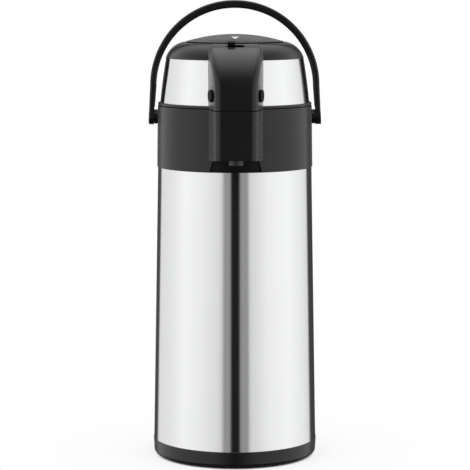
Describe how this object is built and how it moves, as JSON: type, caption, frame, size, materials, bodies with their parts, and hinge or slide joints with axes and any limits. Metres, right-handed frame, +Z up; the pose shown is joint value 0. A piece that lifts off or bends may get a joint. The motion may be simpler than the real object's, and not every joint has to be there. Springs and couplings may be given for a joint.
{
  "type": "airpot",
  "caption": "Tall pump airpot: tapered steel body, dark collar with spout nose, hinged lid with press-down button, lock slider, side latches and a swinging carrying handle.",
  "frame": {"origin": "on the body's axis at the floor, in the middle of the round foot's underside", "axes": "+Z up along the body's axis, -Y towards the nose with the spout, hinge at +Y"},
  "size_m": [0.1585, 0.1707, 0.4209],
  "materials": {
    "dark_plastic": "satin",
    "inner_plastic": "satin",
    "steel": "brushed",
    "hardware": "bright",
    "rubber": "matte",
    "white_mark": "gloss"
  },
  "bodies": {
    "foot": {"swivel_foot": "dark_plastic", "foot_pad": "rubber", "screw_cover": "rubber"},
    "pot": {"swivel_screw": "hardware", "swivel_washer": "hardware", "base_ring": "dark_plastic", "adjuster": "inner_plastic", "support_cup": "inner_plastic", "flask_cushion": "rubber", "outer_shell": "steel", "flask_jacket": "steel", "liner_base": "steel", "flask_liner": "steel", "liner_top": "steel", "mouth_gasket": "rubber", "neck_ring": "inner_plastic", "neck_screws": "hardware", "collar": "dark_plastic", "nose_bottom": "dark_plastic", "siphon_plug": "inner_plastic", "valve_cage": "inner_plastic", "plug_gasket": "rubber", "dip_tube": "inner_plastic", "outlet_pipe": "inner_plastic", "nozzle": "dark_plastic", "hinge_pin": "hardware", "handle_pins": "dark_plastic", "handle_washers": "dark_plastic"},
    "ball": {"valve_ball": "hardware"},
    "lid": {"lid_shell": "dark_plastic", "window_band": "steel", "lid_core": "inner_plastic", "core_screws": "hardware", "air_gasket": "rubber", "outlet_valve": "rubber", "bellows": "rubber", "bellows_clamp": "inner_plastic", "return_spring": "hardware", "latch_spring_left": "hardware", "latch_spring_right": "hardware"},
    "button": {"button": "dark_plastic", "arrow_inlay": "white_mark", "pressure_plate": "inner_plastic", "vent_plug": "rubber"},
    "lock": {"lock_slider": "dark_plastic"},
    "latch_left": {"latch_left": "dark_plastic"},
    "latch_right": {"latch_right": "dark_plastic"},
    "handle": {"handle": "dark_plastic"}
  },
  "joints": [
    {"name": "swivel", "type": "hinge", "parent": "foot", "child": "pot", "pos_m": [0, 0, 0], "axis": [0, 0, 1], "continuous": true},
    {"name": "lid_hinge", "type": "hinge", "parent": "pot", "child": "lid", "pos_m": [0, 0.07, 0.331], "axis": [-1, 0, 0], "range_deg": [0, 4]},
    {"name": "handle_swing", "type": "hinge", "parent": "pot", "child": "handle", "pos_m": [0, 0, 0.3145], "axis": [-1, 0, 0], "range_deg": [-40, 118]},
    {"name": "pump_press", "type": "slide", "parent": "lid", "child": "button", "axis": [0, 0, -1], "range_m": [0, 0.028], "stiffness_N_per_m": 350, "springref_m": -0.012, "deforming": ["bellows", "return_spring"]},
    {"name": "lock_slide", "type": "slide", "parent": "lid", "child": "lock", "axis": [1, 0, 0], "range_m": [0, 0.0074]},
    {"name": "latch_left_press", "type": "slide", "parent": "lid", "child": "latch_left", "axis": [0.9761, 0.2173, 0], "range_m": [0, 0.003], "stiffness_N_per_m": 400, "springref_m": -0.004, "deforming": ["latch_spring_left"]},
    {"name": "latch_right_press", "type": "slide", "parent": "lid", "child": "latch_right", "axis": [-0.9761, 0.2173, 0], "range_m": [0, 0.003], "stiffness_N_per_m": 400, "springref_m": -0.004, "deforming": ["latch_spring_right"]},
    {"name": "ball_lift", "type": "slide", "parent": "pot", "child": "ball", "axis": [0, 0, 1], "range_m": [0, 0.004]}
  ]
}
